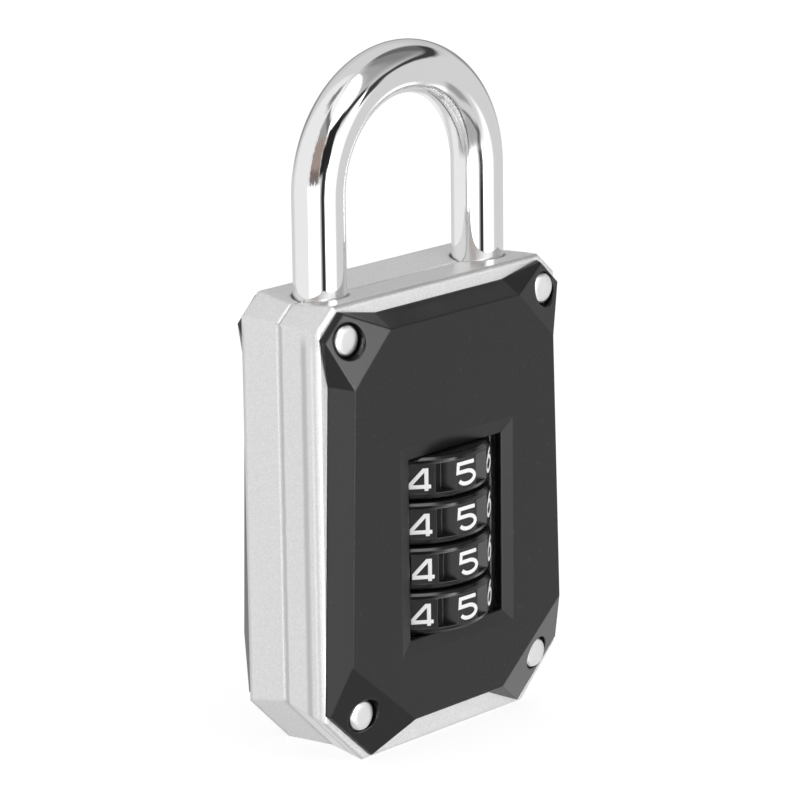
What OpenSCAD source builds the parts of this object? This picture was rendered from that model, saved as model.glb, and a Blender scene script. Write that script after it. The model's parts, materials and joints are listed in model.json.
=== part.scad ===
// Four-dial combination padlock, built as separate pieces that fit together.
// Millimetres. +Z is up, the dials face -Y, and the origin is on the bottom face at the seam.
// A half shell is drawn lying down, with its depth as height, and stood up by stand().

/* [Body] */
// Width of the body at the seam
body_w = 42.4; // [40:0.2:46]
// Height of the body
body_h = 57.8; // [56:0.2:62]
// Depth of each half shell, from the seam to its flange face
shell_t = 6.5; // [6.2:0.1:7.5]
// Width of each upper corner cut
top_cut_x = 3.0; // [2:0.1:5]
// Height of each upper corner cut
top_cut_z = 2.7; // [2:0.1:5]
// Width of each lower corner cut
low_cut_x = 6.6; // [4:0.1:8]
// Height of each lower corner cut
low_cut_z = 6.5; // [5:0.1:9]

/* [Covers] */
// Height of the front plateau above the flange
front_h = 2.8; // [2.4:0.1:3.4]
// Height of the rear plateau above the flange
rear_h = 3.3; // [2.9:0.1:4]
// Width of the dial window at its inner rim
window_w = 16.6; // [14:0.1:17]
// Width of the sloped frame round the window
frame_w = 1.83; // [1:0.01:2.2]
// Depth of the sloped frame
frame_d = 0.4; // [0.2:0.05:0.8]

/* [Shackle] */
// Diameter of the bar
rod_d = 6.5; // [5:0.1:7]
// Distance between the centre lines of the legs
leg_gap = 27.9; // [27:0.1:29]
// Height of the arch's centre above the body's bottom
arch_z = 69.2; // [66:0.1:80]
// Depth of the short leg inside the body
toe_depth = 5.2; // [4:0.1:5.5]

/* [Dials] */
// Number of dials
dial_count = 4; // [4:1:4]
// Radius of a dial over the corners of its pads
dial_r = 10.0; // [9.6:0.05:10.1]
// Height from one dial to the next
dial_pitch = 5.75; // [5.5:0.05:6]
// Height of the middle of the dial stack
stack_z = 25.75; // [25:0.05:27]
// Distance of the dials' axis in front of the seam
axis_y = 1.2; // [1:0.05:1.6]
// Width of a digit's flat pad
pad_w = 3.45; // [3:0.05:4]
// Height of a pad, between the rims
band_h = 3.7; // [3.4:0.1:4.2]
// Depth of the finger pockets between the pads
pocket_depth = 1.35; // [0.6:0.05:1.5]
// Width of a finger pocket at its floor
pocket_w = 0.1; // [0.1:0.1:1.6]
// Turn of each dial away from its click, counted from the top
dial_turn = [-2.4, -1.8, -0.5, -1.6];

/* [Mechanism] */
// Radius of the spindle
spindle_r = 1.8; // [1.6:0.05:2]
// Reach of a spindle fin from the axis
fin_r = 3.4; // [3:0.1:3.6]
// Thickness and width of a spindle fin
fin_t = 1.6; // [1.2:0.1:1.8]
// Thickness of the lift plate
plate_t = 2.0; // [1.6:0.1:2.2]
// Radius of the spring's wire
wire_r = 0.35; // [0.3:0.05:0.4]
// Turns of the shackle spring
spring_turns = 13; // [10:1:14]

/* [Fits] */
// Radial clearance of a shaft that slides or turns in a hole
run_gap = 0.05; // [0.03:0.01:0.08]
// Space between moving faces that never touch
free_gap = 0.3; // [0.3:0.05:0.4]
// Radial clearance of a piece held in its seat
seat_gap = 0.03; // [0.01:0.01:0.05]

/* [Hidden] */
$fn = 48;
o = 0.02;
half_w = body_w / 2;
rod_r = rod_d / 2;
leg_x = leg_gap / 2;
travel = dial_pitch;

// Edges of a shell: groove at the seam, slight taper and rounding at the flange
seam_v = 0.2;
bevel_at = 4.0;
bevel_in = 0.1;
edge_r = 0.45;
edge_low_r = 0.25;
edge_steps = 4;
// How far the waist at the seam lies inside the outline, for each side of the outline in turn
waist_cut = 0.9;
waist_top = 0.65;
waists = [waist_cut, 0, 0, waist_top, 0, 0, waist_cut, 0];

// Dial stack
dial_t = dial_pitch - free_gap;
hub_t = dial_pitch - free_gap / 2;
function dial_z(i) = stack_z + (dial_count / 2 - 0.5 - i) * dial_pitch;
window_lo = stack_z - dial_count * dial_pitch / 2;
window_hi = stack_z + dial_count * dial_pitch / 2;
pocket_r = dial_r + free_gap;
pocket_lo = window_lo - 0.2;
pocket_hi = window_hi + 0.2;
digit_step = 36;
pad_flat = sqrt(dial_r * dial_r - pad_w * pad_w / 4);
pocket_floor = pad_flat - pocket_depth;
rim_r = dial_r - 0.08;
rim_line = [[rim_r, band_h / 2 + 0.06], [rim_r - 0.12, band_h / 2 + 0.45],
    [rim_r - 0.37, dial_t / 2 - 0.11], [rim_r - 0.72, dial_t / 2]];

// Clutch between dial and hub
hub_r = 4.85;
tooth_r = 5.5;
tooth_w = 0.9;
tooth_h = dial_pitch - 1.35;
clutch_gap = 0.05;
flange_t = 1.5;
fin_space_r = fin_r + free_gap;
gate_w = fin_t + 2 * free_gap;
gate_r = fin_r + 0.15;

// Spindle, its bushes and the space above the dials
fin_hi = fin_t / 2 + free_gap + 0.1;
bush_r = 3.2;
bush_flange_r = 4.1;
bush_flange_t = 1.3;
bush_t = 3.1;
bush_lo_z = window_lo - fin_hi - bush_t;
bush_hi_z = window_hi + fin_hi;
spindle_lo = 4.0;
latch_z = bush_hi_z + bush_t + 0.2;
plate_z = latch_z + 0.7;
stub_r = 1.2;
clip_t = 0.5;
latch_top = plate_z + plate_t + clip_t + travel + 0.6;
latch_y = rod_r + 1.05;
latch_left = -leg_x - latch_y;
latch_right = 4.8;

// Shackle
neck_r = 2.05;
neck_gap = 0.1;
heel_z = plate_z - neck_gap - 2.7;
toe_z = body_h - toe_depth;
toe_hole_z = toe_z - 0.4;
mouth_r = rod_r + 0.3;
mouth_t = waist_top + 0.5;
bore_r = rod_r + run_gap;

// Shackle spring
coil_r = 1.95;
well_r = coil_r + wire_r + free_gap;
well_z = 12;
spring_z = well_z + o;

// Detent comb beside the dials
comb_x = dial_r + 1.3;
comb_t = 0.35;
comb_back = 4.3;
comb_slot = 1.2;
bump_r = 0.9;
finger_h = 4.2;

// Rivets: [x, z] of the right-hand ones
top_rivet = [17.35, 53.65];
low_rivet = [15.7, 6.4];
rivet_r = 1.2;
rivet_head_r = 1.95;
rivet_hole_r = 2.2;
rivet_seat = 0.45;
rivet_head_t = 0.98;
top_rivet_depth = 3.1;
case_rivets_at = [[6.2, 53.5], [18.3, 27]];
case_rivet_r = 0.9;
case_head_r = 1.5;
case_head_t = 0.8;

// Cover: right-hand corners of its front view as [x, z], mirrored for the left
plateau_hi = [17.7, 47.8];
plateau_top = [11.35, 54.2];
plateau_lo = [18.8, 13.6];
plateau_low = [7.9, 4.15];
side_foot = 1.83;
top_foot = 1.6;
low_foot = 1.5;
ear_side = [20.75, 54.15];
ear_top = [17.75, 57.05];
ear_low_side = [20.95, 7.4];
ear_low = [13.45, 0.35];
ear_rim = 0.85;
ear_rim_top = 0.7;
ear_low_rim = 0.45;
ear_lean = 0.25;
roof_t = 1.4;
tray_in = 1.5;

// Stands a shape up: drawn height becomes depth towards the front
module stand() {
    rotate([90, 0, 0]) children();
}

// Places a shape on the dials' axis
module on_axis(z = 0) {
    translate([0, -axis_y, z]) children();
}

// Both halves of a shape that is the same left and right
module both_sides() {
    children();
    mirror([1, 0, 0]) children();
}

// Outline of the body, counter-clockwise from its lower right corner
outline = [
    [half_w - low_cut_x, 0], [half_w, low_cut_z],
    [half_w, body_h - top_cut_z], [half_w - top_cut_x, body_h],
    [-half_w + top_cut_x, body_h], [-half_w, body_h - top_cut_z],
    [-half_w, low_cut_z], [-half_w + low_cut_x, 0]
];

// What one side of the outline loses outside itself: seam groove, waist, taper and edge
module side_cut(p, q, waist, low, groove) {
    reach = 12;
    run = norm(q - p);
    lip = groove ? seam_v : 0;
    r = low ? edge_low_r : edge_r;
    start = low ? 0 : bevel_in;
    translate([p[0], p[1], 0])
        rotate([0, 0, atan2(q[1] - p[1], q[0] - p[0])])
            translate([-reach, 0, 0])
                rotate([90, 0, 90])
                    linear_extrude(run + 2 * reach)
                        polygon(concat(
                            [[-reach, -1], [waist + (groove ? lip + 1 : 0), -1], [waist, lip],
                                [0.4 * waist, bevel_at]],
                            [for (k = [0:edge_steps]) let (a = 90 * k / edge_steps)
                                [start + r * (1 - cos(a)), shell_t - r * (1 - sin(a))]],
                            [[start + r + 1, shell_t + 1], [-reach, shell_t + 1]]
                        ));
}

// One half of the body with its outer faces only, lying down
module shell_form() {
    difference() {
        translate([-half_w - 1, -1, 0]) cube([body_w + 2, body_h + 2, shell_t]);
        for (i = [0:len(outline) - 1]) {
            side_cut(outline[i], outline[(i + 1) % len(outline)], waists[i],
                i == 0 || i > len(outline) - 3, i < len(outline) - 1);
        }
    }
}

// Round hole through the depth of a shell, from depth a to depth b, lying down
module depth_hole(at, r, a, b) {
    translate([at[0], at[1], a]) cylinder(r = r, h = b - a);
}

// Everything that is hollow where the two shells meet
module inner_space() {
    // dials
    on_axis(pocket_lo) cylinder(r = pocket_r, h = pocket_hi - pocket_lo);
    translate([dial_r - 2, -3.9, pocket_lo])
        cube([comb_x + comb_t + 0.6 - dial_r + 2, 3.9 + comb_back, pocket_hi - pocket_lo]);
    // spindle and its bushes
    on_axis(spindle_lo - 0.5) cylinder(r = spindle_r + free_gap, h = latch_z - spindle_lo + 1);
    on_axis(bush_lo_z + bush_t - o) cylinder(r = fin_space_r, h = 2);
    on_axis(pocket_hi - o) cylinder(r = fin_space_r, h = bush_hi_z - pocket_hi + 2 * o);
    for (z = [bush_lo_z, bush_hi_z]) {
        on_axis(z) cylinder(r = bush_r + seat_gap, h = bush_t);
        on_axis(z + 0.9 - seat_gap)
            cylinder(r = bush_flange_r + seat_gap, h = bush_flange_t + 2 * seat_gap);
    }
    // lift plate
    translate([latch_left, -latch_y, latch_z])
        cube([latch_right - latch_left, 2 * latch_y, latch_top - latch_z]);
    // long leg, short leg and spring
    translate([-leg_x, 0, heel_z - 0.4]) cylinder(r = bore_r, h = body_h);
    translate([leg_x, 0, toe_hole_z]) cylinder(r = bore_r, h = body_h);
    translate([-leg_x, 0, well_z]) cylinder(r = well_r, h = heel_z - well_z);
    both_sides() translate([leg_x, 0, body_h - mouth_t]) cylinder(r = mouth_r, h = 2);
    // lightening pocket beside the comb
    translate([13.6, -3.8, 17]) cube([3.0, 7.6, 28]);
}

// Rivet holes of one shell, lying down
module rivet_holes() {
    both_sides() {
        depth_hole(top_rivet, rivet_r + seat_gap, shell_t - top_rivet_depth - 0.2, shell_t + 1);
        depth_hole(low_rivet, rivet_r + seat_gap, -1, shell_t + 1);
        for (p = case_rivets_at) {
            depth_hole(p, case_rivet_r + seat_gap, -1, shell_t + 1);
            depth_hole(p, case_head_r + 0.05, shell_t - case_head_t, shell_t + 1);
        }
    }
}

module front_shell() {
    color("silver") difference() {
        stand() difference() {
            shell_form();
            rivet_holes();
        }
        inner_space();
    }
}

module rear_shell() {
    color("silver") difference() {
        mirror([0, 1, 0]) stand() difference() {
            shell_form();
            rivet_holes();
        }
        inner_space();
        comb_seat();
    }
}

// Slot in the rear shell that holds the root of the detent comb
module comb_seat() {
    translate([comb_x - seat_gap, comb_back - 1, window_lo + 1 - seat_gap])
        cube([comb_t + 2 * seat_gap, comb_slot + 1.1, window_hi - window_lo - 2 + 2 * seat_gap]);
}

// Large block on the lower side of the plane through three points
module below(a, b, c) {
    size = 160;
    raw = cross(b - a, c - a);
    n = raw * sign(raw[2]) / norm(raw);
    translate(a)
        rotate(a = acos(n[2]), v = [-n[1], n[0], 0])
            translate([-size / 2, -size / 2, -size])
                cube(size);
}

function at(p, h) = [p[0], p[1], shell_t + h];
function slid(p, dx, dz) = [p[0] + dx, p[1] + dz];
// The middle of the line from p to q, moved to its left by d
function beside(p, q, d) = (p + q) / 2 + d * [p[1] - q[1], q[0] - p[0]] / norm(q - p);

// The point a little further along the line from p through q
function past(p, q, d) = q + d * (q - p) / norm(q - p);

// Right half of a cover's outer form, lying down: walls and two ears round a plateau
module cover_half(h) {
    grow = h - front_h;
    hi = slid(plateau_hi, -grow * side_foot / front_h, -grow * 0.25);
    top = slid(plateau_top, -grow * 0.25, -grow * top_foot / front_h);
    lo = slid(plateau_lo, -grow * side_foot / front_h, grow * 0.25);
    low = slid(plateau_low, -grow * 0.25, grow * low_foot / front_h);
    // where the ears' inner edges meet the flange, just outside the walls
    foot_hi = slid(plateau_hi, side_foot + 0.02, 0.5);
    foot_top = slid(plateau_top, 0.1, top_foot + 0.04);
    foot_low = slid(plateau_low, 0.55, -low_foot - 0.04);
    ear_mid = (ear_side + ear_top) / 2;
    ear_low_mid = (ear_low_side + ear_low) / 2;
    // the ears' outer walls lean inwards from their feet
    ear_in = beside(ear_side, ear_top, ear_lean);
    ear_low_in = beside(ear_low, ear_low_side, ear_lean);
    ear_corner = [ear_side[0], ear_top[1]];
    ear_low_corner = [ear_low_side[0], ear_low[1]];
    // the plateau with its walls
    intersection() {
        translate([0, 0, shell_t]) linear_extrude(h) polygon([
            [-1, ear_low[1]], ear_low_corner, [ear_low_side[0] + 0.2, 30], ear_corner,
            [-1, ear_top[1]]
        ]);
        below(at(ear_side, 0), at(ear_top, 0), at(ear_in, ear_rim));
        below(at(ear_low, 0), at(ear_low_side, 0), at(ear_low_in, ear_rim));
        below(at(hi, h), at(lo, h), at(slid(plateau_hi, side_foot, 0), 0));
        below(at(top, h), at(slid(top, -9, 0), h), at(slid(plateau_top, 0, top_foot), 0));
        below(at(low, h), at(slid(low, -7, 0), h), at(slid(plateau_low, 0, -low_foot), 0));
        below(at(hi, h), at(top, h), at(ear_mid, ear_rim));
        below(at(lo, h), at(low, h), at(ear_low_mid, ear_low_rim));
    }
    // the upper ear
    intersection() {
        translate([0, 0, shell_t]) linear_extrude(h) polygon([
            [9, hi[1] - 1], past(ear_side, foot_hi, 0.4), ear_side, ear_corner, ear_top,
            past(ear_top, foot_top, 0.4), [9, foot_top[1] - 1]
        ]);
        below(at(ear_side, 0), at(ear_top, 0), at(ear_in, ear_rim));
        below(at(hi, h), at(top, h), at(ear_mid, ear_rim));
        below(at(hi, h), at(foot_hi, 0), at(ear_side, ear_rim));
        below(at(top, h), at(foot_top, 0), at(ear_top, ear_rim_top));
        below(at(top, h), at(slid(top, -9, 0), h), at(slid(plateau_top, 0, top_foot + 6), h - 0.01));
    }
    // the lower ear
    intersection() {
        translate([0, 0, shell_t]) linear_extrude(h) polygon([
            [6, foot_low[1] + 1], past(ear_low, foot_low, 0.4), ear_low, ear_low_corner,
            [ear_low_side[0], lo[1] + 1], [6, lo[1] + 1]
        ]);
        below(at(ear_low, 0), at(ear_low_side, 0), at(ear_low_in, ear_rim));
        below(at(lo, h), at(low, h), at(ear_low_mid, ear_low_rim));
        below(at(hi, h), at(lo, h), at(slid(plateau_hi, side_foot, 0), 0));
        below(at(low, h), at(foot_low, 0), at(ear_low, ear_low_rim));
    }
}

// A cover without its window: outer form, hollow back and rivet holes, lying down
module cover_form(h) {
    roof = shell_t + h - roof_t;
    difference() {
        union() both_sides() cover_half(h);
        translate([0, 0, shell_t - 1]) linear_extrude(roof - shell_t + 1) polygon([
            slid(plateau_low, -0.6, tray_in), slid(plateau_lo, -tray_in, 0.9),
            slid(plateau_hi, -tray_in, -0.6), slid(plateau_top, -0.6, -tray_in),
            [0.6 - plateau_top[0], plateau_top[1] - tray_in],
            [tray_in - plateau_hi[0], plateau_hi[1] - 0.6],
            [tray_in - plateau_lo[0], plateau_lo[1] + 0.9],
            [0.6 - plateau_low[0], plateau_low[1] + tray_in]
        ]);
        both_sides() for (p = [top_rivet, low_rivet]) {
            depth_hole(p, rivet_r + seat_gap, shell_t - 1, shell_t + h);
            depth_hole(p, rivet_hole_r, shell_t + rivet_seat, shell_t + h + 1);
        }
    }
}

// Sloped mouth of the window, from its wide edge on the plateau down past its inner rim, lying down
module window_mouth() {
    w = window_w / 2;
    top = shell_t + front_h;
    k = frame_w / frame_d;
    down = frame_d + 0.2;
    in = k * 0.2;
    out = k * (frame_d + 1);
    intersection() {
        translate([0, body_h, 0]) rotate([90, 0, 0]) linear_extrude(body_h) polygon([
            [in - w, top - down], [w - in, top - down], [w + out, top + 1], [-w - out, top + 1]
        ]);
        translate([-30, 0, 0]) rotate([90, 0, 90]) linear_extrude(60) polygon([
            [window_lo + in, top - down], [window_hi - in, top - down],
            [window_hi + out, top + 1], [window_lo - out, top + 1]
        ]);
    }
}

module front_cover() {
    color("dimgray") stand() difference() {
        cover_form(front_h);
        window_mouth();
        translate([-window_w / 2, window_lo, shell_t - 1])
            cube([window_w, window_hi - window_lo, front_h + 1]);
    }
}

module rear_cover() {
    color("dimgray") difference() {
        mirror([0, 1, 0]) stand() cover_form(rear_h);
        on_axis(pocket_lo) cylinder(r = pocket_r, h = pocket_hi - pocket_lo);
    }
}

// Rivet head with a rounded edge, its flat underside at height 0
module rivet_head() {
    rotate_extrude() polygon([
        [0, 0], [rivet_head_r, 0], [rivet_head_r, rivet_head_t - 0.4],
        [rivet_head_r - 0.1, rivet_head_t - 0.18], [rivet_head_r - 0.35, rivet_head_t - 0.05],
        [rivet_head_r - 0.8, rivet_head_t], [0, rivet_head_t]
    ]);
}

module cover_rivets() {
    seat = shell_t + rivet_seat;
    color("white") for (back = [0, 1]) mirror([0, back, 0]) stand() both_sides() {
        translate([top_rivet[0], top_rivet[1], shell_t - top_rivet_depth])
            cylinder(r = rivet_r, h = top_rivet_depth + rivet_seat);
        translate([top_rivet[0], top_rivet[1], seat]) rivet_head();
        translate([low_rivet[0], low_rivet[1], 0]) cylinder(r = rivet_r, h = seat);
        translate([low_rivet[0], low_rivet[1], seat]) rivet_head();
    }
}

module case_rivets() {
    color("gray") for (back = [0, 1]) mirror([0, back, 0]) stand() both_sides()
        for (p = case_rivets_at) {
            translate([p[0], p[1], 0]) cylinder(r = case_rivet_r, h = shell_t);
            translate([p[0], p[1], shell_t - case_head_t])
                cylinder(r = case_head_r, h = case_head_t);
        }
}

// Bar end with a small chamfer, pointing down from height z
module bar_end(z, top) {
    c = 0.6;
    translate([0, 0, z]) cylinder(r1 = rod_r - c, r2 = rod_r, h = c);
    translate([0, 0, z + c]) cylinder(r = rod_r, h = top - z - c);
}

module shackle() {
    color("lightgray") difference() {
        union() {
            translate([0, 0, arch_z]) rotate([90, 0, 0])
                rotate_extrude(angle = 180) translate([leg_x, 0]) circle(r = rod_r);
            translate([-leg_x, 0, 0]) bar_end(heel_z, arch_z);
            translate([leg_x, 0, 0]) bar_end(toe_z, arch_z);
        }
        // neck that the lift plate's fork holds
        translate([-leg_x, 0, plate_z - neck_gap]) difference() {
            cylinder(r = rod_r + 1, h = plate_t + 2 * neck_gap);
            translate([0, 0, -1]) cylinder(r = neck_r, h = plate_t + 3);
        }
    }
}

// Wire swept along a coil by rings of points
module shackle_spring() {
    sides = 6;
    per_turn = 12;
    rings = spring_turns * per_turn;
    rise = heel_z - spring_z - 2 * wire_r - 2 * o;
    function ring_z(i) = spring_z + wire_r + rise * i / rings;
    pts = [for (i = [0:rings]) for (k = [0:sides - 1])
        let (a = 360 * i / per_turn, b = 360 * k / sides + 30, r = coil_r + wire_r * cos(b))
            [r * cos(a), r * sin(a), ring_z(i) + wire_r * sin(b)]];
    skin = [for (i = [0:rings - 1]) for (k = [0:sides - 1])
        let (n = (k + 1) % sides)
            [i * sides + k, (i + 1) * sides + k, (i + 1) * sides + n, i * sides + n]];
    ends = [[for (k = [0:sides - 1]) k], [for (k = [sides - 1:-1:0]) rings * sides + k]];
    color("gray") translate([-leg_x, 0, 0])
        polyhedron(points = pts, faces = concat(skin, ends), convexity = 10);
}

module spindle() {
    color("gold") on_axis() {
        translate([0, 0, spindle_lo + 0.4]) cylinder(r = spindle_r, h = plate_z - spindle_lo - 0.4);
        translate([0, 0, spindle_lo]) cylinder(r1 = spindle_r - 0.4, r2 = spindle_r, h = 0.4);
        translate([0, 0, plate_z]) cylinder(r = stub_r, h = plate_t + clip_t + 0.2);
        for (i = [0:dial_count - 1]) {
            translate([-fin_t / 2, 0, dial_z(i) - dial_pitch / 2 - fin_t / 2])
                intersection() {
                    cube([fin_t, fin_r + 1, fin_t]);
                    translate([fin_t / 2, 0, 0]) cylinder(r = fin_r, h = fin_t);
                }
        }
    }
}

module lift_plate() {
    slot = neck_r + neck_gap;
    color("orange") translate([0, 0, plate_z]) difference() {
        union() {
            translate([-leg_x, 0, 0]) cylinder(r = latch_y - 0.5, h = plate_t);
            on_axis() cylinder(r = 3, h = plate_t);
            linear_extrude(plate_t) polygon([
                [-leg_x, -3.4], [-4, -3.4], [0, -axis_y - 3], [0, 3 - axis_y], [-4, 3.0], [-leg_x, 3.4]
            ]);
        }
        translate([-leg_x, 0, -1]) cylinder(r = slot, h = plate_t + 2);
        translate([-leg_x - 10, -slot, -1]) cube([10, 2 * slot, plate_t + 2]);
        on_axis(-1) cylinder(r = stub_r + seat_gap, h = plate_t + 2);
    }
}

// Push-on ring over the spindle's stub, open on one side
module spindle_clip() {
    color("gray") on_axis(plate_z + plate_t) difference() {
        cylinder(r = 2.4, h = clip_t);
        translate([0, 0, -1]) cylinder(r = stub_r + seat_gap, h = clip_t + 2);
        translate([-0.8, 0, -1]) cube([1.6, 4, clip_t + 2]);
    }
}

// Flanged sleeve that guides the spindle, clamped between the shells
module bush(z) {
    on_axis(z) difference() {
        union() {
            cylinder(r = bush_r, h = bush_t);
            translate([0, 0, 0.9]) cylinder(r = bush_flange_r, h = bush_flange_t);
        }
        translate([0, 0, -1]) cylinder(r = spindle_r + run_gap, h = bush_t + 2);
    }
}

module upper_bush() {
    color("peru") bush(bush_hi_z);
}

module lower_bush() {
    color("peru") bush(bush_lo_z);
}

// Leaf with one sprung finger for each dial, held clear of the pads
module detent_comb() {
    root_h = window_hi - window_lo - 2;
    color("khaki") union() {
        translate([comb_x, 1.2, window_lo + 1])
            cube([comb_t, comb_back + comb_slot - 1.2, root_h]);
        for (i = [0:dial_count - 1]) translate([comb_x, 0, dial_z(i) - finger_h / 2]) {
            translate([0, -3.4, 0]) cube([comb_t, 3.4 + 1.3, finger_h]);
            intersection() {
                translate([0.1, -axis_y, 0]) cylinder(r = bump_r, h = finger_h);
                translate([-2, -4, 0]) cube([2 + comb_t / 2, 8, finger_h]);
            }
        }
    }
}

// Corner of a dial's outline: distance away from and along the axis's tangent, turned to its place
function turned(x, y, a) = [x * cos(a) - y * sin(a), x * sin(a) + y * cos(a)];

band_outline = [for (k = [0:9]) let (a = k * digit_step) each [
    turned(pad_flat, -pad_w / 2, a), turned(pad_flat, pad_w / 2, a),
    turned(pocket_floor, -pocket_w / 2, a + digit_step / 2),
    turned(pocket_floor, pocket_w / 2, a + digit_step / 2)
]];

// A number wheel: ten flat pads with finger pockets between them, closed by a sloped rim
// above and below, and a toothed bore
module dial(i) {
    color("black") on_axis(dial_z(i)) rotate([0, 0, dial_turn[i] - 90]) difference() {
        union() {
            translate([0, 0, -band_h / 2]) linear_extrude(band_h) polygon(band_outline);
            rotate_extrude() polygon(concat(
                [[hub_r - 0.4, -dial_t / 2]],
                [for (k = [len(rim_line) - 1:-1:0]) [rim_line[k][0], -rim_line[k][1]]],
                [[rim_r, -band_h / 2 + o], [pocket_floor - 1, -band_h / 2 + o],
                    [pocket_floor - 1, band_h / 2 - o], [rim_r, band_h / 2 - o]],
                rim_line,
                [[hub_r - 0.4, dial_t / 2]]
            ));
        }
        translate([0, 0, -dial_t]) cylinder(r = hub_r + clutch_gap, h = 2 * dial_t);
        for (k = [0:9]) rotate([0, 0, k * digit_step])
            translate([3, -tooth_w / 2 - clutch_gap, -dial_t])
                cube([tooth_r + clutch_gap - 3, tooth_w + 2 * clutch_gap, 2 * dial_t]);
        translate([0, 0, -dial_t / 2 - 1]) difference() {
            cylinder(r = 7.6, h = 2);
            translate([0, 0, -1]) cylinder(r = 6.4, h = 4);
        }
    }
}

// A hub: toothed ring whose inner flange lets a spindle fin pass only at its gate
module hub(i) {
    color("goldenrod") on_axis(dial_z(i)) rotate([0, 0, dial_turn[i]]) difference() {
        union() {
            translate([0, 0, -hub_t / 2]) cylinder(r = hub_r, h = hub_t);
            for (k = [0:9]) rotate([0, 0, k * digit_step - 90])
                translate([hub_r - 0.7, -tooth_w / 2, -tooth_h / 2])
                    cube([tooth_r - hub_r + 0.7, tooth_w, tooth_h]);
        }
        for (s = [0, 1]) mirror([0, 0, s]) translate([0, 0, flange_t / 2])
            cylinder(r = fin_space_r, h = hub_t);
        translate([0, 0, -hub_t]) cylinder(r = spindle_r + run_gap, h = 2 * hub_t);
        intersection() {
            translate([-gate_w / 2, 0, -flange_t]) cube([gate_w, fin_space_r, 2 * flange_t]);
            translate([0, 0, -flange_t]) cylinder(r = gate_r, h = 2 * flange_t);
        }
    }
}

module dial_1() {
    dial(0);
}

module dial_2() {
    dial(1);
}

module dial_3() {
    dial(2);
}

module dial_4() {
    dial(3);
}

module hub_1() {
    hub(0);
}

module hub_2() {
    hub(1);
}

module hub_3() {
    hub(2);
}

module hub_4() {
    hub(3);
}

front_shell();
rear_shell();
front_cover();
rear_cover();
cover_rivets();
case_rivets();
shackle();
shackle_spring();
spindle();
lift_plate();
spindle_clip();
upper_bush();
lower_bush();
detent_comb();
dial_1();
dial_2();
dial_3();
dial_4();
hub_1();
hub_2();
hub_3();
hub_4();
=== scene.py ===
# %% [markdown]
# # A combination padlock with four number dials
# The solids of the lock were made in a CAD program and packed with their joints. They are loaded
# here as a fixed frame, in metres, with +Z up and the dials facing -Y. This lesson dresses them:
# a camera and a pale studio first, then a finish for every metal and plastic, and at last the
# pieces that are finer than the solids, which are the bent bar, the coil spring and the numerals.

# %% The frame and the tools
import json
import math

import bpy
import numpy as np
from mathutils import Matrix, Vector


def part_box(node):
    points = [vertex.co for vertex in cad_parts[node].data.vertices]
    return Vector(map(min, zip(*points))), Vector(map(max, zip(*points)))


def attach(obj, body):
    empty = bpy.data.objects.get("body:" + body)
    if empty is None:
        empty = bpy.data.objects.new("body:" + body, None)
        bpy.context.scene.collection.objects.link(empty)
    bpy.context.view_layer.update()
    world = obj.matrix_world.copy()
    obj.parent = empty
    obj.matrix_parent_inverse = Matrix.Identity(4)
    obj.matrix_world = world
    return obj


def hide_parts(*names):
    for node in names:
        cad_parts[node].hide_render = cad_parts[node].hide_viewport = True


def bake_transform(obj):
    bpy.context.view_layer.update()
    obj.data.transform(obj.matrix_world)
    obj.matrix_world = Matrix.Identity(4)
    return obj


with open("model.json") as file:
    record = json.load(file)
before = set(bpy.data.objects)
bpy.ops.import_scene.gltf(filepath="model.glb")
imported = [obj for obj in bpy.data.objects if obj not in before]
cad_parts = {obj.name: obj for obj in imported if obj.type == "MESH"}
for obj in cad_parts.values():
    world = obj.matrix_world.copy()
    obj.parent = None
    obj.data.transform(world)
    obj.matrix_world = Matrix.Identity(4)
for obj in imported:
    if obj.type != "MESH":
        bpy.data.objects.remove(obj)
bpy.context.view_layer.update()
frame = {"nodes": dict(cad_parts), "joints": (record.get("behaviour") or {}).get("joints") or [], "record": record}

MM = 0.001
nodes = frame["nodes"]

# %% [markdown]
# ## The camera
# A long lens far away keeps the upright edges of a product nearly parallel. The camera looks from
# the left of the front and a little from above. Its three axes are worked out from two angles and
# a small roll, and it is then moved sideways by a fraction of a millimetre to frame the lock.

# %% Camera from an azimuth, an elevation and a roll
azimuth, elevation, roll = (math.radians(a) for a in (46.258, 15.238, -0.722))
aim = Vector((0.0, 0.0, 41.786)) * MM
distance, shift_right, shift_up = 473.15 * MM, 0.233 * MM, 0.295 * MM

back = Vector((-math.sin(azimuth) * math.cos(elevation),
               -math.cos(azimuth) * math.cos(elevation), math.sin(elevation)))
level = Vector((math.cos(azimuth), -math.sin(azimuth), 0.0))
above = back.cross(level)
right = math.cos(roll) * level + math.sin(roll) * above
up = math.cos(roll) * above - math.sin(roll) * level
eye = aim + back * distance - right * shift_right - up * shift_up

camera = bpy.data.objects.new("camera", bpy.data.cameras.new("camera"))
bpy.context.scene.collection.objects.link(camera)
camera.matrix_world = Matrix(((right.x, up.x, back.x, eye.x), (right.y, up.y, back.y, eye.y),
                              (right.z, up.z, back.z, eye.z), (0, 0, 0, 1)))
camera.data.sensor_width = 36.0
camera.data.lens = 172.65
camera.data.clip_start, camera.data.clip_end = 0.01, 50.0
bpy.context.scene.camera = camera
bpy.context.scene.view_settings.view_transform = "Standard"
print("camera at", [round(v / MM) for v in eye], "mm")

# %% [markdown]
# ## Shader maths that reads like Python
# A shader is a graph of small nodes, and sums written as nodes are hard to read. `Wire` stands for
# one output of a node and turns +, - and * on it into Math nodes, also where the number comes
# first, as in 1 - mask.

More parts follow.
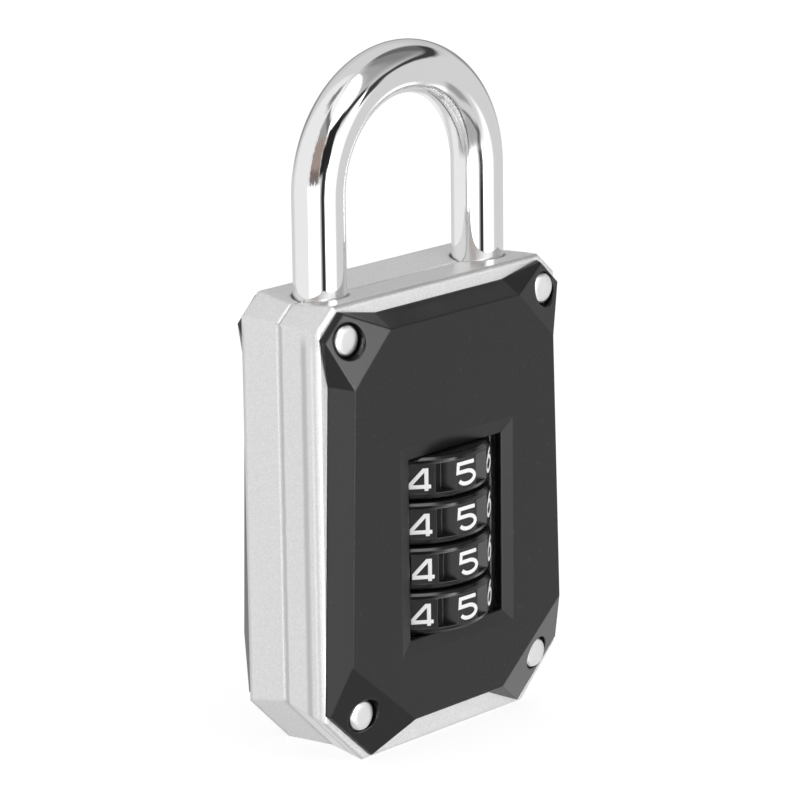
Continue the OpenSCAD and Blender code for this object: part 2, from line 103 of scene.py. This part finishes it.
# %% One output of a node
class Wire:
    """One output of a node. Each operator on it adds a Math node to its sheet."""

    def __init__(self, sheet, socket):
        self.sheet, self.socket = sheet, socket

    def __add__(self, other):
        return self.sheet.maths("ADD", self, other)

    def __sub__(self, other):
        return self.sheet.maths("SUBTRACT", self, other)

    def __rsub__(self, other):
        return self.sheet.maths("SUBTRACT", other, self)

    def __mul__(self, other):
        return self.sheet.maths("MULTIPLY", self, other)

    def __abs__(self):
        return self.sheet.maths("ABSOLUTE", self)

    __radd__, __rmul__ = __add__, __mul__


print("Wire turns sums into Math nodes")

# %% [markdown]
# `Sheet` is one graph. Its `node` method makes any other node from its type, its inputs and its
# settings, and the short methods after it stand for the nodes that the finishes use most.

# %% One graph of nodes
class Sheet:
    """The node graph of a material or of the world."""

    def __init__(self, owner):
        owner.use_nodes = True
        self.tree = owner.node_tree
        self.tree.nodes.clear()

    def node(self, kind, inputs=(), out=0, **settings):
        """Makes a node of that kind and gives back one of its outputs as a Wire. The settings are
        set first, because some of them change which inputs the node has."""
        made = self.tree.nodes.new("ShaderNode" + kind)
        for name, value in settings.items():
            setattr(made, name, value)
        for name, value in dict(inputs).items():
            if isinstance(value, Wire):
                self.tree.links.new(value.socket, made.inputs[name])
            else:
                made.inputs[name].default_value = value
        return Wire(self, made.outputs[out]) if made.outputs else made

    def maths(self, operation, *values):
        """One Math node on Wires and numbers."""
        return self.node("Math", dict(enumerate(values)), operation=operation)

    def rise(self, value, low, high):
        """0 below low, 1 above high, and a smooth S between them."""
        return self.node("MapRange", {"Value": value, "From Min": low, "From Max": high},
                         interpolation_type="SMOOTHSTEP")

    def mix(self, mask, a, b):
        """Colour a where the mask is 0 and colour b where it is 1."""
        return self.node("Mix", {0: mask, 6: a, 7: b}, out=2, data_type="RGBA")

    def split(self, place):
        """The three coordinates of a vector."""
        parts = self.node("SeparateXYZ", {0: place}).socket.node
        return [Wire(self, output) for output in parts.outputs]

    def noise(self, place, per_metre, detail, roughness=0.5):
        """Noise from 0 to 1. Detail is how many finer layers lie on the first one."""
        return self.node("TexNoise", {"Vector": place, "Scale": per_metre, "Detail": detail,
                                      "Roughness": roughness})


def grey(value, tint=0.0):
    """A linear grey as a colour, a little bluer where tint is above 0."""
    return (value * (1 - tint), value, value * (1 + tint), 1)


print("Sheet makes the nodes")

# %% [markdown]
# ## The studio
# Polished metal shows its surroundings, so the room matters as much as the finish. The world is
# plain white to the camera. To shiny surfaces it is a room of soft boxes and gaps, written as
# patches of direction: a front light in a dark frame, a top light, a bright table on the left and
# dim gaps between them. Matt surfaces get an even grey from it, and the lamps below shape them.

# %% Directions round the lock
world = bpy.data.worlds.new("studio")
bpy.context.scene.world = world
world.cycles.sampling_method = "NONE"
room = Sheet(world)
outlook = room.node("TexCoord", out="Generated")
axes = room.split(outlook)
# degrees from -Y towards +X, and degrees above the horizon
turn = room.maths("ARCTAN2", axes[0], 0 - axes[1]) * math.degrees(1)
rise = room.maths("ARCSINE", axes[2]) * math.degrees(1)
# what stands on the left has ragged edges, so directions wander there by up to 14 degrees, and
# by 2 degrees elsewhere
ragged = (room.noise(outlook, 16.0, 5, 0.6) - 0.5) * (room.rise(turn, -36, -58) * 24 + 3)
turn, rise = turn + ragged, rise - ragged * 0.6


def patch(turn_at, rise_at, half_wide, half_high, soft, slope=0.0):
    """1 inside a soft-edged rectangle of directions, 0 outside it. With a slope its middle climbs
    by that many degrees for each degree of turn. Turns are compared round the circle."""
    off = room.maths("WRAP", turn - turn_at, 180.0, -180.0)
    across = room.rise(abs(off), half_wide + soft / 2, half_wide - soft / 2)
    up_down = room.rise(abs(rise - rise_at - off * slope), half_high + soft / 2, half_high - soft / 2)
    return across * up_down


print("a direction is degrees of turn and of rise")

# %% [markdown]
# The room is a list of patches. Each is a rectangle of directions with soft edges and one
# radiance, and it lies over the patches before it in the list.

# %% Where the lights and the gaps are
WALL = 0.68   # radiance of the room's walls, where no patch lies
PATCHES = [  # turn, rise, half width, half height, soft edge, slope, radiance
    (-129, 12, 41, 70, 18, 0.0, 0.88),    # pale back of the room on the left
    (-113, 66, 16, 10, 10, 0.0, 0.25),    # dark corner of the ceiling there
    (134, 14, 34, 22, 22, 0.0, 0.58),     # dim back corner over the top face
    (138, 5, 36, 9, 9, 0.0, 0.30),        # its foot
    (52, 54, 42, 25, 24, 0.0, 0.38),      # dim upper right
    (66, 54, 28, 23, 22, 0.0, 0.24),      # it darkens to the right
    (84, 52, 13, 20, 12, 0.0, 0.14),      # its darkest part
    (-62, 60, 26, 14, 10, -0.54, 0.98),   # pale ceiling left of the top light
    (-21, 57, 25, 22, 13, 0.0, 3.6),      # top light
    (-68, 26, 19, 24, 6, -0.3, 0.36),     # gap on the left
    (-67, 47, 19, 4, 5, -0.5, 0.18),      # upper edge of that gap
    (-68, 6, 17, 5, 4, 0.0, 0.20),        # lower edge of that gap
    (-100, -42, 30, 16, 16, 0.0, 0.45),   # floor on the left
    (-42, -47, 22, 14, 10, 0.0, 0.42),    # floor in front, on the left
    (-66, -16, 25, 15, 7, 0.0, 1.70),     # edge of the bright table
    (86, -36, 11, 9, 10, 0.0, 1.35),      # low light on the right
    (130, -47, 18, 11, 12, 0.0, 0.60),    # its far end
    (150, -32, 16, 12, 12, 0.0, 0.92),    # pale back of the table on the right
    (62, -62, 20, 8, 8, 0.0, 1.2),        # bright floor on the right
    (28, -46, 13, 9, 8, 0.0, 0.34),       # dim floor in front
    (10, -76, 80, 9, 8, 0.0, 0.40),       # floor straight below
    (8, -4, 24, 22, 9, 0.0, 1.15),        # front light, its pale rim
    (4, -2, 19, 13, 10, 0.4, 6.2),        # its bright middle
    (-25, 28, 17, 6.5, 4, 0.0, 0.02),     # frame round the front light: top left
    (5, 26, 15, 4, 5, -0.15, 0.03),       # top
    (28, 14, 6, 8, 5, 0.0, 0.05),         # top right corner
    (62, 25, 33, 4.5, 5, 0.30, 0.05),     # its arm to the right
    (-30, 14, 17, 10, 5, 0.0, 0.02),      # left
    (-27, -8, 7.5, 18, 8, 0.0, 0.03),     # lower left
    (-16, -32, 13, 3.5, 5, -0.2, 0.06),   # bottom
    (-14, -50, 5, 15, 6, 0.0, 0.12),      # its stand
]
print(len(PATCHES), "patches of light and shade")

# %% The room that polished metal reflects
light = WALL
for turn_at, rise_at, wide, high, soft, slope, radiance in PATCHES:
    mask = patch(turn_at, rise_at, wide, high, soft, slope)
    light = mask * radiance + (1 - mask) * light
path = room.node("LightPath").socket.node
seen = Wire(room, path.outputs["Is Camera Ray"])
shiny = Wire(room, path.outputs["Is Glossy Ray"])
clear = Wire(room, path.outputs["Is Transmission Ray"])
EVEN = 0.55   # what matt surfaces get from every side
strength = seen + (1 - seen) * (shiny * light + (1 - shiny) * (clear + (1 - clear) * EVEN))
# something brown stands in the gap on the left
BROWN = (1.0, 0.80, 0.72, 1)
tint = room.mix(patch(-68, 19, 19, 15, 6) * shiny, grey(1), BROWN)
room.node("OutputWorld", {"Surface": room.node("Background", {"Color": tint, "Strength": strength})})
print("room ready")

# %% [markdown]
# The floor is a pale sheet on which the lock stands. To the camera it is nearly plain white, with
# a part of its real shading left in, so the soft shadow under the lock still shows. Shiny surfaces
# look through it at the room, and matt ones get its bounce.

# %% The floor
FLOOR_HALF = 4.0
FLOOR_Z = -0.02 * MM   # a hair under the lock, so the two never share a plane
SQUARE = ((-1, -1), (1, -1), (1, 1), (-1, 1))
floor_mesh = bpy.data.meshes.new("floor")
floor_mesh.from_pydata([(x * FLOOR_HALF, y * FLOOR_HALF, FLOOR_Z) for x, y in SQUARE],
                       [], [(0, 1, 2, 3)])
floor = bpy.data.objects.new("floor", floor_mesh)
bpy.context.scene.collection.objects.link(floor)
paper = bpy.data.materials.new("floor paper")
s = Sheet(paper)
fibres = s.noise(s.node("TexCoord", out="Object"), 180, 3)
matt = s.node("BsdfDiffuse", {"Color": s.mix(fibres, grey(0.80), grey(0.82))})
GLOW = 1.15   # makes up for what the shading leaves dark
glow = s.node("Emission", {"Color": grey(1), "Strength": GLOW})
path = s.node("LightPath").socket.node
seen, shiny = (Wire(s, path.outputs[name]) for name in ("Is Camera Ray", "Is Glossy Ray"))
SHADOW = 0.28   # share of the real shading that the camera sees
shown = s.node("MixShader", {0: seen * (1 - SHADOW), 1: matt, 2: glow})
s.node("OutputMaterial", {"Surface": s.node(
    "MixShader", {0: shiny, 1: shown, 2: s.node("BsdfTransparent", {"Color": grey(1)})})})
floor_mesh.materials.append(paper)
print("floor", 2 * FLOOR_HALF, "m across")

# %% [markdown]
# Four square soft boxes stand round the lock. They light what is matt: the numerals, the floor
# and a part of the silver spray.

# %% The lamps
LAMPS_AIM = Vector((0, 0, 30 * MM))


def lamp(name, turn_at, rise_at, away, size, watts):
    """A square soft box at a distance from the middle of the lock, facing it. Only matt surfaces
    take light from it, because the room already gives shiny ones their reflections."""
    data = bpy.data.lights.new(name, "AREA")
    data.size, data.energy = size, watts
    made = bpy.data.objects.new(name, data)
    bpy.context.scene.collection.objects.link(made)
    a, e = math.radians(turn_at), math.radians(rise_at)
    out = Vector((math.sin(a) * math.cos(e), -math.cos(a) * math.cos(e), math.sin(e)))
    made.location = LAMPS_AIM + out * away
    made.rotation_mode = "QUATERNION"
    made.rotation_quaternion = (-out).to_track_quat("-Z", "Y")
    made.visible_camera = made.visible_glossy = False
    return made


lamps = [lamp("front lamp", 15, 30, 0.9, 0.5, 3.4), lamp("left lamp", -95, 25, 0.9, 0.6, 2.2),
         lamp("top lamp", 120, 70, 0.9, 0.7, 1.6), lamp("back lamp", 170, 20, 1.0, 0.6, 1.6)]
print(len(lamps), "lamps")

# %% [markdown]
# ## Finishes
# Every finish is built from the same three things: a colour that varies a little, a roughness that
# varies with wear and handling, and a fine relief. The Bevel node bends the shading near an edge
# as a cast or moulded edge would be rounded. Patterns read Object coordinates, in metres, so their
# scales are features per metre.

# %% A helper that closes a finish
def finish(name, build, edge=0.0, **shine):
    """A material whose build function gives its colour, roughness and relief height in metres.
    Edge is the radius to which the shading rounds an edge, and shine sets the shader's sockets."""
    made = bpy.data.materials.new(name)
    s = Sheet(made)
    place = s.node("TexCoord", out="Object")
    colour, rough, height = build(s, place)
    normal = s.node("Bevel", {"Radius": edge}, samples=8) if edge else None
    bump = {"Height": height, "Distance": 1.0, "Strength": 1.0}
    if normal:
        bump["Normal"] = normal
    inputs = {"Base Color": colour, "Roughness": rough, "Normal": s.node("Bump", bump)}
    s.node("OutputMaterial", {"Surface": s.node("BsdfPrincipled", {**inputs, **shine})})
    return made


finishes = {}
print("a finish is colour, roughness and relief")


# %% [markdown]
# ### Silver spray
# The body is die-cast and sprayed with a silver paint. Fine flakes in it catch the light one by
# one, which gives a quiet sparkle, and the coat has the faint waves of sprayed paint. Flakes are
# cells of a Voronoi pattern with a random grey each; the waves are a slow noise. The casting has
# a shallow fold down each side wall, and painted shade darkens the colour in it, along the seam and
# along two edges. Each of these lines of painted shade is a soft band at one depth of the body.

# %% Where the painted shade of the casting's lines runs
BODY_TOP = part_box("front_shell")[1][2]
CORNER = BODY_TOP - 2.7 * MM    # the side walls end here and the slanting corners begin
# how far each line is in front of the middle, and its half width
FOLD_SIDE, FOLD_SIDE_HALF = 4.25 * MM, 0.70 * MM    # the fold on the side walls
FOLD_TOP, FOLD_TOP_HALF = 6.4 * MM, 0.85 * MM       # the line along the top's front edge
FOLD_BACK, FOLD_BACK_HALF = -6.15 * MM, 0.55 * MM   # the line along the back edge
BACK_SHARE = 0.6                                    # the back one is fainter
FULL = 0.10 * MM            # half width of the fully dark middle of a fold
# the painted shade at the seam: its place on the sides and on the corners, its half width, its middle
SEAM_SIDE, SEAM_CORNER, SEAM_HALF, SEAM_FULL = 0.5 * MM, 0.1 * MM, 0.40 * MM, 0.05 * MM
# the ledge where the side walls turn to the front: its place, its half width, how far it falls
LEDGE, LEDGE_HALF, LEDGE_FALL = 5.55 * MM, 0.35 * MM, 0.16 * MM


def painted_crease_shade(s, up_body, forward):
    """How dark the painted shade of the lines is at a point, and how far the wall has fallen past its
    ledge (0 to 1). A line of painted shade is 1 in its full middle and fades to 0 at its half width."""
    def line_at(middle, half_wide, full=FULL):
        return s.rise(abs(forward - middle), half_wide, full)

    on_top = s.rise(up_body, BODY_TOP - 0.15 * MM, BODY_TOP - 0.05 * MM)
    on_side = s.rise(up_body, CORNER, CORNER - 2.5 * MM)
    below_corner = s.rise(up_body, CORNER + 0.1 * MM, CORNER - 0.1 * MM)
    seam_at = SEAM_CORNER + below_corner * (SEAM_SIDE - SEAM_CORNER)
    # painted shade in the fold on the side walls, along the top's front edge and, fainter, along the back edge
    fold_shade = (line_at(FOLD_SIDE, FOLD_SIDE_HALF) * on_side + line_at(FOLD_TOP, FOLD_TOP_HALF) * on_top
            + line_at(FOLD_BACK, FOLD_BACK_HALF) * on_side * BACK_SHARE)
    seam_shade = line_at(seam_at, SEAM_HALF, SEAM_FULL) * (1 - on_top)
    ledge = s.rise(forward, LEDGE - LEDGE_HALF, LEDGE + LEDGE_HALF) * on_side
    return s.maths("MAXIMUM", fold_shade, seam_shade), ledge


print("side walls end", round(CORNER / MM, 2), "mm above the floor")

# %% Silver spray on the two shells
def silver(s, place):
    flakes = s.node("TexVoronoi", {"Vector": place, "Scale": 6500.0}, out="Color")
    flake = s.node("SeparateColor", {0: flakes})
    grains = s.noise(place, 3800, 3, 0.7)
    waves = s.noise(place, 420, 2)
    _, along, up_body = s.split(place)
    wander = (waves - 0.5) * 0.15 * MM
    painted_shade, ledge = painted_crease_shade(s, up_body, wander - along)
    shade = s.rise(grains * 0.6 + flake * 0.4, 0.25, 0.8)
    paint = s.mix(shade, grey(0.77), grey(0.87))
    rough = 0.36 + grains * 0.10 + (waves - 0.5) * 0.05
    coat = (grains - 0.5) * 3.5e-6 + (flake - 0.5) * 1e-6 + waves * 4e-6
    # painted shade: the colour darkens to grey 0.58 in the fold, along the seam and along two edges
    return s.mix(painted_shade, paint, grey(0.58)), rough, coat - ledge * LEDGE_FALL


finishes["silver_shell"] = finish("silver spray", silver, edge=0.60 * MM, Metallic=0.86)
print("silver spray")


# %% [markdown]
# ### Black mouldings
# The covers are a black moulding with a fine matt grain. The dials are the same black with satin
# pads between two glossy rims, told apart by their height within the dial. Both reflect only a
# few percent of the room, so their grey comes from the angle at which each facet meets the
# lights. Handling leaves a few smoother patches.

# %% Black of the covers and of the dials
def cover_black(s, place):
    grain = s.noise(place, 3600, 3, 0.65)
    hands = s.noise(place, 70, 3)
    specks = s.rise(s.noise(place, 900, 0), 0.80, 0.86)
    colour = s.mix(grain, grey(0.0045, 0.02), grey(0.0085, 0.03))
    rough = 0.27 + grain * 0.08 - hands * 0.04
    return s.mix(specks, colour, grey(0.015)), rough, (grain - 0.5) * 3e-6


DIALS = ["dial_%d" % (i + 1) for i in range(4)]
mids = [(low[2] + high[2]) / 2 for low, high in map(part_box, DIALS)]
PITCH = abs(mids[1] - mids[0])
BAND = 1.95 * MM    # half height of the band of pads between a dial's two rims
RIM_EDGE = 0.1 * MM


def dial_black(s, place):
    grain = s.noise(place, 4200, 2)
    hands = s.noise(place, 260, 2)
    off = abs(s.maths("WRAP", s.split(place)[2] - mids[0], PITCH / 2, -PITCH / 2))
    rim = s.rise(off, BAND, BAND + RIM_EDGE)
    colour = s.mix(hands, grey(0.006), grey(0.011))
    rough = 0.24 + grain * 0.08 + hands * 0.06 - rim * 0.15
    return colour, rough, (grain - 0.5) * 2e-6


finishes["black_cover"] = finish("black moulding", cover_black, edge=0.30 * MM)
finishes["dial_black"] = finish("satin black dial", dial_black, edge=0.12 * MM)
print("black mouldings")


# %% [markdown]
# ### Bright metals
# The bar is chrome: almost a mirror, with faint smears that change its roughness and the slow
# waves of hand polishing. Polish hardly reaches the inside of the bow, which is a little duller.
# The rivets' heads are satin, turned metal. Inside, plain steel and brass parts carry the marks of
# the lathe, which are fine bands across their height.

# %% Chrome, satin, steel and brass
bar_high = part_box("shackle")[1]
BOW_Z = bar_high[2] - bar_high[0]    # middle of the bow
BOW_DULL, BOW_CLEAR = 12.0 * MM, 13.5 * MM    # dull within the first radius, polished past the other
BOW_FOOT = BOW_Z - 6 * MM            # the legs are polished all round below this


def chrome(s, place):
    smear = s.noise(place, 110, 3)
    waves = s.noise(place, 170, 1)
    across, _, up_bar = s.split(place)
    in_bow = s.maths("SQRT", across * across + (up_bar - BOW_Z) * (up_bar - BOW_Z))
    inside = s.rise(in_bow, BOW_CLEAR, BOW_DULL) * s.rise(up_bar, BOW_FOOT, BOW_Z)
    rough = 0.015 + smear * 0.02 + inside * 0.10
    return s.mix(smear, grey(0.90), grey(0.94)), rough, waves * 2e-6


def satin(s, place):
    grain = s.noise(place, 5200, 3, 0.7)
    return s.mix(grain, grey(0.78), grey(0.98)), 0.30 + grain * 0.10, (grain - 0.5) * 7e-6


def turned(low, high, rough):
    """Steel or brass with lathe marks: noise squeezed along the height, so it bands."""
    def build(s, place):
        bands = s.noise(s.node("Mapping", {0: place, "Scale": (300.0, 300.0, 9000.0)}), 1, 2)
        stain = s.noise(place, 240, 3)
        return s.mix(bands * 0.6 + stain * 0.4, low, high), rough + stain * 0.12, bands * 3e-6
    return build


finishes["shackle_chrome"] = finish("chrome", chrome, Metallic=1.0)
finishes["rivet_steel"] = finish("satin rivet", satin, edge=0.15 * MM, Metallic=1.0)
finishes["inner_steel"] = finish("zinc-plated steel", turned(grey(0.45), grey(0.62), 0.30),
                                 edge=0.08 * MM, Metallic=1.0)
finishes["spring_steel"] = finish("spring steel", turned(grey(0.22), grey(0.38), 0.28),
                                  edge=0.05 * MM, Metallic=1.0)
finishes["bush_brass"] = finish("turned brass", turned((0.62, 0.42, 0.16, 1), (0.80, 0.60, 0.28, 1),
                                                       0.26), edge=0.10 * MM, Metallic=1.0)
finishes["hub_brass"] = finish("cast brass", turned((0.54, 0.38, 0.16, 1), (0.72, 0.54, 0.26, 1),
                                                    0.36), edge=0.10 * MM, Metallic=1.0)
print("bright metals:", sorted(finishes))


# %% [markdown]
# ### White of the numerals
# The numerals are printed in a thick, slightly uneven white.

# %% Numeral white
def print_white(s, place):
    mottle = s.noise(place, 2600, 2)
    return s.mix(mottle, grey(0.90), grey(0.95)), 0.42 + mottle * 0.1, (mottle - 0.5) * 4e-6


finishes["digit_white"] = finish("numeral white", print_white)
print(len(finishes), "finishes")

# %% [markdown]
# The record of the lock names a finish for each solid. The material goes on the object and not
# on its mesh, because the meshes of the frame are left as they are.

# %% Every solid gets its finish
for part in frame["record"]["subparts"]:
    solid = nodes[part["node"]]
    for holder in solid.material_slots:
        holder.link = "OBJECT"
        holder.material = finishes[part["material_slot"]]
print("finished", len(nodes), "solids")

# %% [markdown]
# ## Surfaces from arrays
# New pieces are grids of points worked out with numpy. A grid has one row of points per ring and
# closes round each ring. Faces are the index of each point joined to its three neighbours, found
# for the whole grid at once.

# %% From a grid of points to a piece
def grid_faces(rings, sides, start=0):
    """Quads between neighbouring rings, each ring closed on itself, facing outwards for rings
    that run anticlockwise when seen against the path."""
    i, j = np.meshgrid(np.arange(rings - 1), np.arange(sides), indexing="ij")
    k = (j + 1) % sides
    return (np.stack([i * sides + j, i * sides + k, (i + 1) * sides + k, (i + 1) * sides + j], -1)
            .reshape(-1, 4) + start)


SHARP = 40.0   # degrees; an edge that turns by more stays sharp


def piece(name, points, quads, caps, slot):
    """A mesh object at the origin from points in millimetres, quads and end caps."""
    mesh = bpy.data.meshes.new(name)
    mesh.from_pydata((points * MM).tolist(), [], quads.tolist() + [list(c) for c in caps])
    mesh.shade_smooth()
    mesh.set_sharp_from_angle(angle=math.radians(SHARP))
    mesh.materials.append(finishes[slot])
    made = bpy.data.objects.new(name, mesh)
    bpy.context.scene.collection.objects.link(made)
    print(name, len(points), "points,", len(mesh.polygons), "faces")
    return made


def tube(centres, across, over, wide, high, sides, power=1.0):
    """Rings of points round a path: centre + across * wide * c + over * high * s, where c and s
    are cos t and sin t raised to a power. Below 1 the power squares the ring's corners."""
    t = np.linspace(0, 2 * np.pi, sides, endpoint=False)[None, :, None]
    c, s = (np.sign(v) * np.abs(v) ** power for v in (np.cos(t), np.sin(t)))
    return (centres[:, None] + across[:, None] * wide[:, None, None] * c
            + over[:, None] * high[:, None, None] * s).reshape(-1, 3)


print("a grid becomes a piece, and a path becomes a tube")

# %% [markdown]
# ## The bent bar
# The shackle is one round bar bent to a half circle. Its long leg ends in a heel that the spring
# pushes, with a neck cut in it for the lift plate, and its short leg ends in a chamfer. A ring of
# points is carried along the bar, and the ring's radius follows the turned profile.

# %% Shackle
low, high = (np.array(c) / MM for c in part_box("shackle"))
BAR_R, NECK_R, CHAMFER = 3.25, 2.05, 0.6
NECK = (42.35, 44.55)   # height of the neck for the lift plate
TOE_Z = 52.6            # end of the short leg
LEG_RINGS, BOW_RINGS, SIDES = 24, 241, 144
POLE_R = 0.01           # radius of the first and the last ring, which a cap closes
BOW_GAP = 0.5           # from the last ring of a leg to the bow
leg_x = high[0] - BAR_R
arch_z = high[2] - leg_x - BAR_R
heel = np.array([[low[2], POLE_R], [low[2], BAR_R - CHAMFER], [low[2] + CHAMFER, BAR_R],
                 [NECK[0], BAR_R], [NECK[0], NECK_R], [NECK[1], NECK_R],
                 [NECK[1], BAR_R], [NECK[1] + 1, BAR_R]])
leg = np.column_stack([np.linspace(NECK[1] + 2, arch_z - BOW_GAP, LEG_RINGS),
                       np.full(LEG_RINGS, BAR_R)])
turns = np.linspace(0, np.pi, BOW_RINGS)
toe_leg = np.array([[arch_z - BOW_GAP, BAR_R], [arch_z - 6, BAR_R], [TOE_Z + CHAMFER, BAR_R],
                    [TOE_Z, BAR_R - CHAMFER], [TOE_Z, POLE_R]])
up_side = np.vstack([heel, leg])
centres = np.vstack([
    np.column_stack([np.full(len(up_side), -leg_x), np.zeros(len(up_side)), up_side[:, 0]]),
    np.column_stack([-leg_x * np.cos(turns), 0 * turns, arch_z + leg_x * np.sin(turns)]),
    np.column_stack([np.full(len(toe_leg), leg_x), np.zeros(len(toe_leg)), toe_leg[:, 0]])])
angle = np.concatenate([np.zeros(len(up_side)), turns, np.full(len(toe_leg), np.pi)])
outward = np.column_stack([-np.cos(angle), 0 * angle, np.sin(angle)])
radius = np.concatenate([up_side[:, 1], np.full(len(turns), BAR_R), toe_leg[:, 1]])
rings = len(centres)
bar = piece("shackle_bar",
            tube(centres, outward, np.tile([0.0, -1.0, 0.0], (rings, 1)), radius, radius, SIDES),
            grid_faces(rings, SIDES),
            (range(SIDES)[::-1], range((rings - 1) * SIDES, rings * SIDES)), "shackle_chrome")
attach(bar, "shackle")
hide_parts("shackle")

# %% [markdown]
# ## The coil spring
# Wire wound to a coil sits under the long leg. The wire's centre line is a helix, its rings of
# points stand upright across it, and the last half turn at each end lies flat. Each ring runs from
# its outer side downwards, so that the faces point outwards.

# %% Spring
low, high = (np.array(c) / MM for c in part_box("shackle_spring"))
WIRE_R, TURNS, STEPS, WIRE_SIDES = 0.35, 13, 36, 12   # STEPS rings to a turn
coil_r = (high[0] - low[0]) / 2 - WIRE_R
middle = np.array([(low[0] + high[0]) / 2, 0.0])      # x and y of the coil's axis
turn_no = np.linspace(0, TURNS, TURNS * STEPS + 1)
ease = np.clip((turn_no - 0.5) / (TURNS - 1), 0, 1)
climb = low[2] + WIRE_R + (high[2] - low[2] - 2 * WIRE_R) * ease
a = 2 * np.pi * turn_no
centres = np.column_stack([middle[0] + coil_r * np.cos(a), middle[1] + coil_r * np.sin(a), climb])
out = np.column_stack([np.cos(a), np.sin(a), 0 * a])
wire = np.full(len(a), WIRE_R)
spring = piece("spring_coil",
               tube(centres, out, np.tile([0.0, 0.0, -1.0], (len(a), 1)), wire, wire, WIRE_SIDES),
               grid_faces(len(a), WIRE_SIDES),
               (range(WIRE_SIDES)[::-1], range((len(a) - 1) * WIRE_SIDES, len(a) * WIRE_SIDES)),
               "spring_steel")
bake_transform(spring)
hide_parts("shackle_spring")

# %% [markdown]
# ## The numerals
# Each dial has ten flat pads with a numeral from 0 to 9 on each. A numeral is one stroke of even
# width, and an 8 is two. A flat ring with squared corners carried along the stroke gives a low
# ridge of print, and it is mitred at the corners.

# %% Curves and lines to draw with
def bow(x, z, wide, high, start, end, points=17):
    """Part of an oval: centre + (wide cos t, high sin t), from start to end in degrees."""
    t = np.radians(np.linspace(start, end, points))
    return np.column_stack([x + wide * np.cos(t), z + high * np.sin(t)])


def line(*corners):
    return np.array(corners, float)


print("a stroke is made of bows and lines")

# %% The strokes of the ten numerals, in millimetres from the middle of a pad
W, H = 1.42, 1.30      # half width and half height of a numeral, to the middle of the stroke
STROKES = {
    0: [bow(0, 0, 1.25, H, 90, 450, 41)],
    1: [line((-0.75, 0.65), (0.15, H), (0.15, -H))],
    2: [np.vstack([bow(0, 0.45, 1.25, 0.85, 165, -25), line((-W, -H), (W, -H))])],
    3: [np.vstack([bow(-0.05, 0.62, 1.2, 0.68, 150, -80), bow(-0.05, -0.66, 1.4, 0.68, 80, -155)])],
    4: [line((0.63, -1.50), (0.63, 1.10), (0.3, 1.10), (-1.34, -0.62), (-1.34, -0.97), (1.2, -0.97))],
    5: [np.vstack([line((1.36, 1.28), (-1.30, 1.28), (-1.40, 0.22), (0.1, 0.22)),
                   bow(0.12, -0.57, 1.32, 0.80, 88, -158)])],
    6: [np.vstack([line((1.0, H), (0.1, 1.0)), bow(0, -0.42, 1.35, 0.90, 160, 560, 41)])],
    7: [line((-W, H), (W, H), (-0.45, -H))],
    8: [bow(0, 0.66, 1.1, 0.66, -90, 270, 33), bow(0, -0.66, 1.35, 0.66, 90, 450, 33)],
    9: [np.vstack([bow(0, 0.42, 1.35, 0.90, -20, 380, 41), line((-0.1, -1.0), (-1.0, -H))])],
}
print(len(STROKES), "numerals")

# %% A stroke becomes a low ridge
PEN, PROUD = 0.25, 0.035    # half the stroke's width, and how far the print stands off the pad
END, END_HIGH = 0.05, 0.6   # length of the eased end of a stroke, and its share of the height
MITRE = 0.4                 # least cosine at a corner, so that a sharp one doesn't grow a spike
RIDGE_SIDES, SQUARED = 12, 0.5    # points in a ring, and the power that squares its corners


def stroke(path):
    """Rings of one stroke on a flat pad, one at each of its points and two close rows at each end.
    At a corner the ring lies on the line that halves it, and is 1 / cos(half the bend) as wide."""
    d = np.diff(path, axis=0)
    d /= np.linalg.norm(d, axis=1, keepdims=True)
    first, last = d[:1], d[-1:]
    path = np.vstack([path[:1], path[:1] + first * END, path[1:-1], path[-1:] - last * END,
                      path[-1:]])
    before, after = np.vstack([first, first, d, last]), np.vstack([first, d, last, last])
    middle = before + after
    middle /= np.linalg.norm(middle, axis=1, keepdims=True)
    wide = PEN / np.clip((middle * before).sum(axis=1), MITRE, 1)
    wide[[0, -1]] = PEN - END
    flat = np.column_stack([path[:, 0], 0 * wide, path[:, 1]])
    across = np.column_stack([-middle[:, 1], 0 * wide, middle[:, 0]])
    over = np.tile([0.0, -1.0, 0.0], (len(path), 1))
    high = np.full(len(path), PROUD)
    high[[0, -1]] = PROUD * END_HIGH
    return tube(flat, across, over, wide, high, RIDGE_SIDES, SQUARED)


strokes = {digit: [stroke(path) for path in paths] for digit, paths in STROKES.items()}
print("numerals drawn with", sum(map(len, strokes.values())), "strokes")

# %% [markdown]
# A numeral drawn flat is carried to its pad by a turn about the dial's axis. At rest 5 stands in
# front, and the next digit follows towards +X. Each dial rests up to a few degrees off its click,
# as hands leave them.

# %% Numerals on their pads
DIAL_R, PAD_W = 10.0, 3.45              # radius of a dial, and width of a pad
CLICK = 36.0                            # degrees from one digit to the next
FRONT = 5                               # the digit that stands in front
REST = (-2.4, -1.8, -0.5, -1.6)         # degrees that each dial rests off its click
pad = math.sqrt(DIAL_R ** 2 - PAD_W ** 2 / 4)    # from the axis to the flat of a pad


def turned_about(points, degrees):
    """Points turned about the upright axis: (x cos a - y sin a, x sin a + y cos a, z)."""
    a = math.radians(degrees)
    c, s = math.cos(a), math.sin(a)
    return points @ np.array([[c, s, 0], [-s, c, 0], [0, 0, 1]])


spins = {joint["child"]: joint for joint in frame["joints"]}
for name, middle_z, rest in zip(DIALS, mids, REST):
    x, y, _ = spins[name]["pos_m"]
    axis = np.array([x, y, middle_z]) / MM
    points, quads, caps, count = [], [], [], 0
    for digit, rings_of in strokes.items():
        for ring in rings_of:
            points.append(turned_about(ring + [0, -pad, 0], (digit - FRONT) * CLICK + rest) + axis)
            quads.append(grid_faces(len(ring) // RIDGE_SIDES, RIDGE_SIDES, count))
            first, end = count, count + len(ring)
            caps += [range(first, first + RIDGE_SIDES)[::-1], range(end - RIDGE_SIDES, end)]
            count = end
    digits = piece(name + "_digits", np.vstack(points), np.vstack(quads), caps, "digit_white")
    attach(digits, name)
